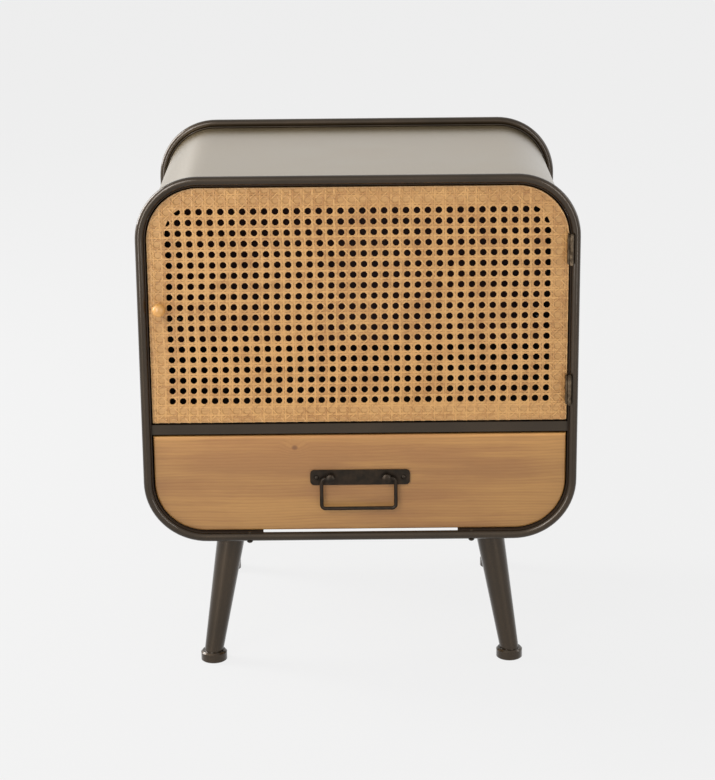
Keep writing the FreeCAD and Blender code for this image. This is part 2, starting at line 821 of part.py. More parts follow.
# ---------------------------------------------------------------- catch
def catch_body():
    """Magnetic catch on the cupboard's floor, just behind the closed door."""
    body = block(catch_x0, catch_x0 + catch_length, catch_y, catch_y + catch_depth,
                 rail_top, rail_top + catch_height)
    for place in catch_screws:
        body = body.cut(rod(V(place.x, place.y, rail_top - sheet), ALONG_Z, catch_screw + 2 * thread_gap,
                            catch_height + 2 * sheet))
    return body


def catch_screw_solid(place):
    top = rail_top + catch_height
    length = catch_height + sheet + catch_screw_tip
    return domed_screw(V(place.x, place.y, top), V(0, 0, -1), catch_screw, 2 * catch_screw,
                       screw_head_height, length)


save("magnetic_catch", catch_body())
save("catch_screws", group([catch_screw_solid(place) for place in catch_screws]))


# ---------------------------------------------------------------- drawer box
box_x = wall_x - runner_space
box_low = drawer_low + box_lift
box_top = box_low + box_height
box_back = back_y - box_rear_space
bottom_z = box_low + bottom_lift
pull_z = (drawer_low + drawer_top) / 2 + pull_above_middle
plate_y = face_y - pull_plate
posts = [bail_offset + u * post_spacing / 2 for u in (-1, 1)]
pull_screws = [V(u * pull_screw_spacing / 2, plate_y, pull_z) for u in (-1, 1)]
inner_x = box_x - side_thickness


def bottom_space():
    """The groove that the bottom panel slides into."""
    play = groove_play / 2
    return block(-inner_x - groove_depth, inner_x + groove_depth, front_back - groove_depth,
                 box_back + sheet, bottom_z - play, bottom_z + bottom_thickness + play)


def dowel_pairs(side):
    """The four dowels of one side of the drawer: two to the front board, two to the back board."""
    solids = []
    for way in (-1, 1):
        middle_z = (bottom_z + bottom_thickness + box_top) / 2 + way * dowel_spacing / 2
        front_start = V(side * (box_x + inner_x) / 2, front_back - dowel_in_front, middle_z)
        back_start = V(side * box_x, box_back - side_thickness / 2, middle_z)
        solids.append((front_start, ALONG_Y))
        solids.append((back_start, V(-side, 0, 0)))
    return solids


def dowel_rods(side, play):
    return [rod(start, way, dowel + 2 * play, dowel_length) for start, way in dowel_pairs(side)]


def drawer_front():
    """Solid fir board with rounded lower corners and softened front edges."""
    board = panel(-side_x, side_x, drawer_low, drawer_top, (drawer_corner, drawer_corner, 0, 0),
                  face_y, front_back)
    front_edges = []
    for edge in board.Edges:
        if edge.BoundBox.YMax < face_y + thread_gap:
            front_edges.append(edge)
    board = board.makeFillet(front_round, front_edges)
    board = board.cut(bottom_space())
    for side in (-1, 1):
        board = board.cut(dowel_rods(side, dowel_play))
    for place in pull_screws:
        board = board.cut(rod(V(place.x, face_y - sheet, place.z), ALONG_Y, pull_screw + 2 * thread_gap,
                              pull_screw_length + sheet))
    return board


def drawer_side(side):
    edges_x = sorted((side * inner_x, side * box_x))
    board = block(edges_x[0], edges_x[1], front_back, box_back, box_low, box_top)
    board = board.cut(bottom_space())
    board = board.cut(dowel_rods(side, dowel_play))
    for place in runner_screw_places(side):
        board = board.cut(rod(place, V(-side, 0, 0), runner_screw + 2 * thread_gap,
                              runner_thickness + runner_screw_bite))
    return board


channel_x = wall_x - weld_gap
channel_y = front_back + channel_setback
channel_length = box_back - front_back - channel_shortfall
channel_low = box_low + channel_above_box
runner_outer_x = channel_x - channel_wall - runner_side_play
runner_thickness = runner_outer_x - box_x
runner_low = channel_low + channel_wall + runner_play
runner_high = channel_low + channel_height - channel_wall - runner_play


def runner_screw_places(side):
    middle_z = (runner_low + runner_high) / 2
    pitch = channel_length / runner_screw_count
    places = []
    for index in range(runner_screw_count):
        places.append(V(side * runner_outer_x, channel_y + (index + 0.5) * pitch, middle_z))
    return places


def runner_screw_solid(side, place):
    return countersunk(place, V(-side, 0, 0), runner_screw, 2 * runner_screw, runner_screw / 2,
                       runner_thickness + runner_screw_bite)


def runner_strip(side):
    """Hardwood strip on the drawer's side, sliding in the channel."""
    edges_x = sorted((side * box_x, side * runner_outer_x))
    strip = block(edges_x[0], edges_x[1], channel_y, channel_y + channel_length, runner_low, runner_high)
    for place in runner_screw_places(side):
        strip = strip.cut(runner_screw_solid(side, place))
    return strip


def channel(side):
    """Steel channel spot-welded to the shell's wall, open towards the drawer."""
    outer = sorted((side * (channel_x - channel_depth), side * channel_x))
    inner = sorted((side * (channel_x - channel_depth - sheet), side * (channel_x - channel_wall)))
    high = channel_low + channel_height
    body = block(outer[0], outer[1], channel_y, channel_y + channel_length, channel_low, high)
    hollow = block(inner[0], inner[1], channel_y - sheet, channel_y + channel_length + sheet,
                   channel_low + channel_wall, high - channel_wall)
    return body.cut(hollow)


def drawer_back():
    """Board between the sides, standing on the bottom panel."""
    board = block(-inner_x, inner_x, box_back - side_thickness, box_back,
                  bottom_z + bottom_thickness + groove_play / 2, box_top)
    for side in (-1, 1):
        board = board.cut(dowel_rods(side, dowel_play))
    return board


def drawer_bottom():
    half = inner_x + groove_depth - groove_play
    return block(-half, half, front_back - groove_depth + groove_play, box_back,
                 bottom_z, bottom_z + bottom_thickness)


save("drawer_front", drawer_front())
save("drawer_back", drawer_back())
save("drawer_bottom", drawer_bottom())
runner_screws = []
drawer_dowels = []
for name, side in (("left", -1), ("right", 1)):
    save("drawer_side_" + name, drawer_side(side))
    save("drawer_channel_" + name, channel(side))
    save("drawer_runner_" + name, runner_strip(side))
    for place in runner_screw_places(side):
        runner_screws.append(runner_screw_solid(side, place))
    drawer_dowels += dowel_rods(side, 0)
save("runner_screws", group(runner_screws))
save("drawer_dowels", group(drawer_dowels))


# ---------------------------------------------------------------- drop pull
pivot_y = plate_y - bail_ahead


def pull_backplate():
    half = pull_length / 2
    low = pull_z - pull_height / 2
    plate = panel(-half, half, low, low + pull_height, (pull_corner,) * 4, plate_y, face_y)
    for place in pull_screws:
        plate = plate.cut(rod(V(place.x, plate_y - sheet, place.z), ALONG_Y, pull_screw + 2 * thread_gap,
                              pull_plate + 2 * sheet))
    for x in posts:
        plate = plate.cut(rod(V(x, plate_y - sheet, pull_z), ALONG_Y, post_spigot + 2 * thread_gap,
                              pull_plate + 2 * sheet))
    return plate


def post(x):
    """Round post riveted through the plate, bored crossways for the wire of the bail."""
    radius = post_diameter / 2
    spigot = post_spigot / 2
    rim = post_reach - post_dome
    profile = [dome(radius, post_dome, rim, 1)]
    profile += polyline([(radius, rim), (radius, 0), (spigot, 0), (spigot, -pull_plate), (0, -pull_plate),
                         (0, post_reach)])
    hole = rod(V(x - post_diameter, pivot_y, pull_z), ALONG_X, bail_wire + 2 * bail_play, 2 * post_diameter)
    return turned(profile, V(x, plate_y, pull_z), V(0, -1, 0)).cut(hole)


def bail():
    """Wire handle: its ends turn inwards through the posts and it hangs from them."""
    half = post_spacing / 2 + bail_beside_post
    end = post_spacing / 2 - post_diameter / 2
    low = pull_z - bail_drop
    right = bail_offset + half
    left = bail_offset - half
    high = corner_points(right, pull_z, -1, -1, bail_bend_high, pivot_y)
    high_left = corner_points(left, pull_z, 1, -1, bail_bend_high, pivot_y)
    bottom = corner_points(right, low, -1, 1, bail_bend_low, pivot_y)
    bottom_left = corner_points(left, low, 1, 1, bail_bend_low, pivot_y)
    start = V(bail_offset + end, pivot_y, pull_z)
    finish = V(bail_offset - end, pivot_y, pull_z)
    path = Part.Wire([
        Part.LineSegment(start, high[1]).toShape(),
        Part.Arc(high[1], high[2], high[0]).toShape(),
        Part.LineSegment(high[0], bottom[0]).toShape(),
        Part.Arc(bottom[0], bottom[2], bottom[1]).toShape(),
        Part.LineSegment(bottom[1], bottom_left[1]).toShape(),
        Part.Arc(bottom_left[1], bottom_left[2], bottom_left[0]).toShape(),
        Part.LineSegment(bottom_left[0], high_left[0]).toShape(),
        Part.Arc(high_left[0], high_left[2], high_left[1]).toShape(),
        Part.LineSegment(high_left[1], finish).toShape(),
    ])
    section = Part.Wire(Part.Circle(start, ALONG_X, bail_wire / 2).toShape())
    return path.makePipeShell([section], True, False)


def pull_screw_solid(place):
    return domed_screw(place, ALONG_Y, pull_screw, pull_screw_head, screw_head_height, pull_screw_length)


save("pull_plate", pull_backplate())
save("pull_posts", group([post(x) for x in posts]))
save("pull_screws", group([pull_screw_solid(place) for place in pull_screws]))
save("pull_bail", bail())
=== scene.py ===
import math

import bmesh
import bpy
from mathutils import Matrix, Vector


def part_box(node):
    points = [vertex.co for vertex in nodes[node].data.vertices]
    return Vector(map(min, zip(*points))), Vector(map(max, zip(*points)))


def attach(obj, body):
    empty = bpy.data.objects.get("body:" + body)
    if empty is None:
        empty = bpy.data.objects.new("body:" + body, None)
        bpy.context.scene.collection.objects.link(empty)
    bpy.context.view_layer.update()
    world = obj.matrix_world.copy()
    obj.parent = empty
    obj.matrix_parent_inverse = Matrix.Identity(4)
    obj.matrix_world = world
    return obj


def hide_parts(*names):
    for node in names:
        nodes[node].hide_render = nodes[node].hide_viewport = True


# Storage side table: a rolled steel shell between two round-bar rings on four splayed legs, with a
# hinged door of woven cane above a solid fir drawer that has a wrought drop pull. Metres.

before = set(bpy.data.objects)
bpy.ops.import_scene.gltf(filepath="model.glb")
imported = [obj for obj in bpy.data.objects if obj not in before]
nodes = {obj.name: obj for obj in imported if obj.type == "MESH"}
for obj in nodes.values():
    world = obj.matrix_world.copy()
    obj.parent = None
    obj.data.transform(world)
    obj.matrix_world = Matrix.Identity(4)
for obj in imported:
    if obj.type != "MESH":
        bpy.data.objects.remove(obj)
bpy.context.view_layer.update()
scene = bpy.context.scene


# ---------------------------------------------------------------- studio
# A wide sweep of pale paper, a big soft key lamp in front, and soft boxes at the sides and behind. Two
# tall strips beside the table, seen only in gloss, draw the bright lines on the bends of the bars.
# The camera stands a little above the table's top.
def linear(hex_colour):
    """An sRGB hex colour as linear light, for a socket."""
    channels = [int(hex_colour[place:place + 2], 16) / 255 for place in (1, 3, 5)]
    return tuple(c / 12.92 if c <= 0.04045 else ((c + 0.055) / 1.055) ** 2.4 for c in channels) + (1.0,)


def add_node(tree, kind, sockets=None, **settings):
    """Add a node. Each socket takes a value, or a link from another node's output."""
    node = tree.nodes.new(kind)
    for name, value in settings.items():
        setattr(node, name, value)
    for name, value in (sockets or {}).items():
        if isinstance(value, bpy.types.NodeSocket):
            tree.links.new(value, node.inputs[name])
        else:
            node.inputs[name].default_value = value
    return node


def new_material(name):
    """A material with its shader, and the tree that they stand in."""
    material = bpy.data.materials.new(name)
    material.use_nodes = True
    return material, material.node_tree, material.node_tree.nodes["Principled BSDF"]


def deselect():
    bpy.ops.object.select_all(action="DESELECT")


def seen_directly(tree):
    """1 for rays from the camera, in gloss or through glass, and 0 for light that falls on things."""
    rays = add_node(tree, "ShaderNodeLightPath")
    seen = add_node(tree, "ShaderNodeMath", {0: rays.outputs["Is Camera Ray"],
                    1: rays.outputs["Is Glossy Ray"]}, operation="ADD", use_clamp=True)
    seen = add_node(tree, "ShaderNodeMath", {0: seen.outputs[0],
                    1: rays.outputs["Is Transmission Ray"]}, operation="ADD", use_clamp=True)
    return seen.outputs[0]


PAPER = "#f0f0f0"
FLOOR_SIZE = 60.0
PAPER_GLOW = 0.95       # share of the paper that shows its own white; the rest takes the shadows
AMBIENT = 0.54

deselect()
bpy.ops.mesh.primitive_plane_add(size=FLOOR_SIZE)
floor = bpy.context.object
floor.name = "paper_sweep"
paper, tree, shader = new_material("white_paper")
shader.inputs["Base Color"].default_value = linear(PAPER)
shader.inputs["Roughness"].default_value = 0.9
shader.inputs["Specular IOR Level"].default_value = 0.1
seen = seen_directly(tree)
share = add_node(tree, "ShaderNodeMath", {0: seen, 1: PAPER_GLOW}, operation="MULTIPLY")
glow = add_node(tree, "ShaderNodeEmission", {"Color": linear(PAPER), "Strength": 1.0})
mix = add_node(tree, "ShaderNodeMixShader",
               {0: share.outputs[0], 1: shader.outputs[0], 2: glow.outputs[0]})
tree.links.new(mix.outputs[0], tree.nodes["Material Output"].inputs["Surface"])
floor.data.materials.append(paper)

world = bpy.data.worlds.new("white_room")
scene.world = world
world.use_nodes = True
tree = world.node_tree
backdrop = tree.nodes["Background"]
backdrop.inputs["Color"].default_value = linear("#ffffff")
backdrop.inputs["Strength"].default_value = AMBIENT
seen = seen_directly(tree)
white = add_node(tree, "ShaderNodeBackground", {"Color": linear(PAPER), "Strength": 1.0})
mix = add_node(tree, "ShaderNodeMixShader",
               {0: seen, 1: backdrop.outputs[0], 2: white.outputs[0]})
tree.links.new(mix.outputs[0], tree.nodes["World Output"].inputs["Surface"])


def soft_box(name, place, aim, width, height, power, shines=True):
    """A rectangular soft lamp that faces a point. One that doesn't shine is only seen in gloss."""
    lamp = bpy.data.lights.new(name, "AREA")
    lamp.shape = "RECTANGLE"
    lamp.size = width
    lamp.size_y = height
    lamp.energy = power
    stand = bpy.data.objects.new(name, lamp)
    scene.collection.objects.link(stand)
    stand.location = place
    stand.rotation_euler = (Vector(aim) - Vector(place)).to_track_quat("-Z", "Y").to_euler()
    stand.visible_diffuse = shines


MIDDLE = (0, 0, 0.35)
soft_box("key_box", (-1.3, -2.3, 2.1), MIDDLE, 1.5, 1.2, 37)
soft_box("left_strip", (-1.0, -1.6, 0.75), MIDDLE, 0.3, 1.5, 18, shines=False)
soft_box("right_strip", (1.0, -1.6, 0.75), MIDDLE, 0.25, 1.5, 10, shines=False)
soft_box("left_box", (-2.4, 0.7, 1.5), MIDDLE, 1.0, 2.0, 105)
soft_box("right_box", (2.6, 0.3, 1.3), MIDDLE, 0.7, 2.0, 13)
soft_box("back_box", (-1.6, 2.2, 1.3), MIDDLE, 2.4, 1.0, 3)

CAMERA_PLACE = (-0.00377, -2.8068, 1.136)
CAMERA_DOWN = 0.28892           # radians below level
CAMERA_LEFT = -0.000647         # and turned this much to the right
CAMERA_ROLL = -0.009716
FOCAL_PIXELS = 2302.7
FRAME_HEIGHT = 780              # the long side, in pixels
SENSOR = 36.0

lens = bpy.data.cameras.new("studio_camera")
lens.sensor_width = SENSOR
lens.lens = FOCAL_PIXELS * SENSOR / FRAME_HEIGHT
camera = bpy.data.objects.new("studio_camera", lens)
scene.collection.objects.link(camera)
camera.matrix_world = (Matrix.Translation(CAMERA_PLACE)
                       @ Matrix.Rotation(CAMERA_LEFT, 4, "Z")
                       @ Matrix.Rotation(math.pi / 2 - CAMERA_DOWN, 4, "X")
                       @ Matrix.Rotation(CAMERA_ROLL, 4, "Z"))
scene.camera = camera
scene.view_settings.view_transform = "Standard"


# ---------------------------------------------------------------- rings
# Two rings of 10.5 mm round bar, bent to rounded squares and welded shut under the table. Sprayed in a
# bronze-brown metallic and lacquered: dark in the middle, with a bright line wherever the bend turns.
RING_CORNER = 0.075         # outside of a bend


def object_place(tree):
    return add_node(tree, "ShaderNodeTexCoord").outputs["Object"]


def noise(tree, vector, scale, detail, roughness=0.5):
    return add_node(tree, "ShaderNodeTexNoise", {"Vector": vector, "Scale": scale, "Detail": detail,
                    "Roughness": roughness})


def relief(tree, height, strength, distance):
    return add_node(tree, "ShaderNodeBump", {"Height": height, "Strength": strength, "Distance": distance})


def paint_tones(tree, place, deep, pale):
    """Sprayed metallic paint: clouds over a hand's breadth, and flakes 1 mm across."""
    clouds = noise(tree, place, 14.0, 4.0)
    flakes = noise(tree, place, 900.0, 2.0)
    blend = add_node(tree, "ShaderNodeMath", {0: clouds.outputs["Fac"], 1: flakes.outputs["Fac"], 2: 0.18},
                     operation="MULTIPLY_ADD")
    tones = add_node(tree, "ShaderNodeValToRGB", {"Fac": blend.outputs[0]})
    tones.color_ramp.elements[0].position = 0.3
    tones.color_ramp.elements[0].color = linear(deep)
    tones.color_ramp.elements[1].position = 0.62
    tones.color_ramp.elements[1].color = linear(pale)
    return clouds, tones.outputs["Color"]


def lacquer(tree, shader, place, clouds, roughness):
    """The clear coat's faint orange peel, 1.5 mm wide, and a gloss that follows the clouds."""
    peel = noise(tree, place, 650.0, 1.0)
    bump = relief(tree, peel.outputs["Fac"], 0.06, 0.0002)
    gloss = add_node(tree, "ShaderNodeMapRange", {"Value": clouds.outputs["Fac"], "From Min": 0.3,
                     "From Max": 0.7, "To Min": roughness - 0.015, "To Max": roughness + 0.015})
    tree.links.new(gloss.outputs[0], shader.inputs["Roughness"])
    tree.links.new(bump.outputs[0], shader.inputs["Normal"])
    shader.inputs["Coat IOR"].default_value = 1.32


def dress(material, *names):
    """Give CAD nodes their material."""
    for name in names:
        nodes[name].material_slots[0].material = material


frame_paint, tree, shader = new_material("bronze_lacquered_bar")
place = object_place(tree)
clouds, bronze = paint_tones(tree, place, "#2b2011", "#392c1c")
tree.links.new(bronze, shader.inputs["Base Color"])
lacquer(tree, shader, place, clouds, 0.42)
shader.inputs["Metallic"].default_value = 0.75
shader.inputs["Coat Weight"].default_value = 1.0
shader.inputs["Coat Roughness"].default_value = 0.10
dress(frame_paint, "ring_front", "ring_rear", "middle_rail", "ring_screws", "leg_bolts", "leg_nuts")
for corner in ("front_left", "front_right", "rear_left", "rear_right"):
    dress(frame_paint, "leg_" + corner, "foot_" + corner, "leg_plate_" + corner)


# ---------------------------------------------------------------- shell
# Steel sheet 1 mm thick, rolled round all four corners and welded inside the rings. Outside it is
# sprayed a satin champagne bronze; the inside and the cut edges get a dark brown tone as painted shade.
shell_paint, tree, shader = new_material("satin_lacquered_sheet")
place = object_place(tree)
clouds, champagne = paint_tones(tree, place, "#86775a", "#8d7d60")
# Painted shade: a dark tone for the inner faces and cut edges, where the sheet lies in shadow.
inside_painted_shade = paint_tones(tree, place, "#2a2017", "#392c20")[1]
shell_low, shell_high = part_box("cabinet_shell")
middle = (shell_low + shell_high) / 2
outward = add_node(tree, "ShaderNodeVectorMath", {0: place, 1: middle}, operation="SUBTRACT")
outward = add_node(tree, "ShaderNodeVectorMath", {0: outward.outputs[0], 1: (1.0, 0.0, 1.0)},
                   operation="MULTIPLY")
faces = add_node(tree, "ShaderNodeTexCoord")
outward = add_node(tree, "ShaderNodeVectorMath", {0: outward.outputs[0], 1: faces.outputs["Normal"]},
                   operation="DOT_PRODUCT")
outside = add_node(tree, "ShaderNodeMapRange", {"Value": outward.outputs["Value"], "From Min": 0.0,
                   "From Max": 0.05})
colour = add_node(tree, "ShaderNodeMix", {0: outside.outputs[0], 6: inside_painted_shade, 7: champagne},
                  data_type="RGBA").outputs[2]
tree.links.new(colour, shader.inputs["Base Color"])
lacquer(tree, shader, place, clouds, 0.25)
# The inner faces and cut edges, with their painted shade, are also matt and have no coat.
gloss = shader.inputs["Roughness"].links[0].from_socket
gloss = add_node(tree, "ShaderNodeMix", {0: outside.outputs[0], 2: 0.75, 3: gloss})
tree.links.new(gloss.outputs[0], shader.inputs["Roughness"])
coat = add_node(tree, "ShaderNodeMath", {0: outside.outputs[0], 1: 0.32}, operation="MULTIPLY")
tree.links.new(coat.outputs[0], shader.inputs["Coat Weight"])
shader.inputs["Metallic"].default_value = 0.7
shader.inputs["Coat Roughness"].default_value = 0.22
dress(shell_paint, "cabinet_shell", "divider_panel", "back_panel_tabs")


def pick(piece, kind, rule):
    """In edit mode, select the vertices, edges or faces whose middle passes the rule."""
    bpy.ops.mesh.select_mode(type=kind)
    bpy.ops.mesh.select_all(action="DESELECT")
    mesh = bmesh.from_edit_mesh(piece.data)
    for element in {"VERT": mesh.verts, "EDGE": mesh.edges, "FACE": mesh.faces}[kind]:
        corners = [element] if kind == "VERT" else element.verts
        middle = sum((corner.co for corner in corners), Vector()) / len(corners)
        if rule(middle):
            element.select_set(True)
    mesh.select_flush_mode()
    bmesh.update_edit_mesh(piece.data)


def edit():
    bpy.ops.object.mode_set(mode="EDIT")
    bpy.ops.mesh.select_all(action="SELECT")


def done():
    bpy.ops.object.mode_set(mode="OBJECT")


def settle(piece):
    """Put the piece's place, turn and size into its mesh."""
    deselect()
    piece.select_set(True)
    bpy.context.view_layer.objects.active = piece
    bpy.ops.object.transform_apply(location=True, rotation=True, scale=True)


def apply_all(piece):
    deselect()
    piece.select_set(True)
    bpy.context.view_layer.objects.active = piece
    for modifier in list(piece.modifiers):
        bpy.ops.object.modifier_apply(modifier=modifier.name)


def bead(name, low, high, corners, y, radius, material):
    """A round bead along a rectangle with rounded corners: all four, or only the upper two."""
    deselect()
    bpy.ops.mesh.primitive_plane_add(size=1, rotation=(math.pi / 2, 0, 0))
    piece = bpy.context.object
    piece.name = name
    piece.dimensions = (high.x - low.x, high.z - low.z, 0)
    piece.location = (0, y, (low.z + high.z) / 2)
    settle(piece)
    edit()
    if corners[1] == 0:
        pick(piece, "VERT", lambda middle: middle.z > (low.z + high.z) / 2)
    bpy.ops.mesh.bevel(offset=corners[0], segments=BEND_STEPS, affect="VERTICES")
    bpy.ops.mesh.select_all(action="SELECT")
    bpy.ops.mesh.delete(type="ONLY_FACE")
    done()
    bpy.ops.object.convert(target="CURVE")
    piece.data.bevel_depth = radius
    piece.data.bevel_resolution = 1
    bpy.ops.object.convert(target="MESH")
    piece.data.materials.clear()
    piece.data.materials.append(material)
    return piece


# The seam of each ring is brazed along the sheet: a fillet under 2 mm thick, painted over.
BEND_STEPS = 20
BAR = 0.0105                # diameter of the bar
SEAM = 0.0011               # radius of the fillet
seam_inset = BAR - 0.0009   # middle of the fillet, inside the outsides of the rings
seam_ahead = 0.0043         # and ahead of or behind the middle of the bar
SLOT = 0.1176               # the sheet ends here, each side of the middle of its underside
for node, way in (("ring_front", 1), ("ring_rear", -1)):
    ring_low, ring_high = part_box(node)
    inset = Vector((seam_inset, 0, seam_inset))
    seam = bead("seam_" + node, ring_low + inset, ring_high - inset, (RING_CORNER - seam_inset,) * 2,
                (ring_low.y + ring_high.y) / 2 + way * seam_ahead, SEAM, frame_paint)
    deselect()
    seam.select_set(True)
    edit()
    for side in (-1, 1):
        bpy.ops.mesh.select_all(action="SELECT")
        bpy.ops.mesh.bisect(plane_co=(side * SLOT, 0, 0), plane_no=(1, 0, 0))
    pick(seam, "FACE", lambda middle: abs(middle.x) < SLOT and middle.z < ring_low.z + 2 * BAR)
    bpy.ops.mesh.delete(type="FACE")
    done()
    bpy.ops.object.shade_smooth_by_angle(angle=math.radians(50))
    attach(seam, "cabinet")


# ---------------------------------------------------------------- fastenings
# Screws, bolts, nuts and the drawer channels are zinc-plated steel: pale blue-grey, slightly cloudy.
zinc, tree, shader = new_material("zinc_plated_steel")
place = object_place(tree)
spangle = add_node(tree, "ShaderNodeTexVoronoi", {"Vector": place, "Scale": 260.0})
tones = add_node(tree, "ShaderNodeValToRGB", {"Fac": spangle.outputs["Distance"]})
tones.color_ramp.elements[0].color = linear("#9b9fa1")
tones.color_ramp.elements[1].color = linear("#bfc2c2")
tree.links.new(tones.outputs["Color"], shader.inputs["Base Color"])
gloss = add_node(tree, "ShaderNodeMapRange", {"Value": spangle.outputs["Distance"], "From Min": 0.0,
                 "From Max": 1.0, "To Min": 0.28, "To Max": 0.42})
tree.links.new(gloss.outputs[0], shader.inputs["Roughness"])
shader.inputs["Metallic"].default_value = 1.0
for name in ("back_panel_screws", "catch_screws", "knob_screw", "runner_screws", "strike_screw",
             "strike_plate", "hinge_screws", "drawer_channel_left", "drawer_channel_right"):
    dress(zinc, name)


# ---------------------------------------------------------------- back panel
# A 3 mm board of pressed wood fibre set inside the rear ring and screwed to six angle tabs. Oiled
# dark brown on both faces, it is smooth, with the short random fibres of such board just visible.
back_board, tree, shader = new_material("oiled_hardboard")
place = object_place(tree)
felt = noise(tree, place, 420.0, 5.0, 0.7)
clouds = noise(tree, place, 9.0, 3.0)
blend = add_node(tree, "ShaderNodeMath", {0: felt.outputs["Fac"], 1: 0.6, 2: clouds.outputs["Fac"]},
                 operation="MULTIPLY_ADD")
tones = add_node(tree, "ShaderNodeValToRGB", {"Fac": blend.outputs[0]})
tones.color_ramp.elements[0].position = 0.62
tones.color_ramp.elements[0].color = linear("#461b0f")
tones.color_ramp.elements[1].position = 0.98
tones.color_ramp.elements[1].color = linear("#5f2d1b")
bump = relief(tree, felt.outputs["Fac"], 0.25, 0.0002)
tree.links.new(tones.outputs["Color"], shader.inputs["Base Color"])
tree.links.new(bump.outputs[0], shader.inputs["Normal"])
shader.inputs["Roughness"].default_value = 0.62
dress(back_board, "back_panel")


# ---------------------------------------------------------------- door frame
# Four fir strips, glued to a frame 16 mm thick with rounded upper corners and oiled. The webbing
# hides its face, so it shows at its edges, through the closed eyes at the border, and from behind.
KNOT_REACH = 0.020          # the rings bend round a knot this far out
KNOT_BEND = 0.004           # and by this much
KNOT_CORE = 0.0014          # fully dark inside this radius
KNOT_EDGE = 0.0042          # and plain wood outside this one
KNOT_BROWN = "#6e4526"


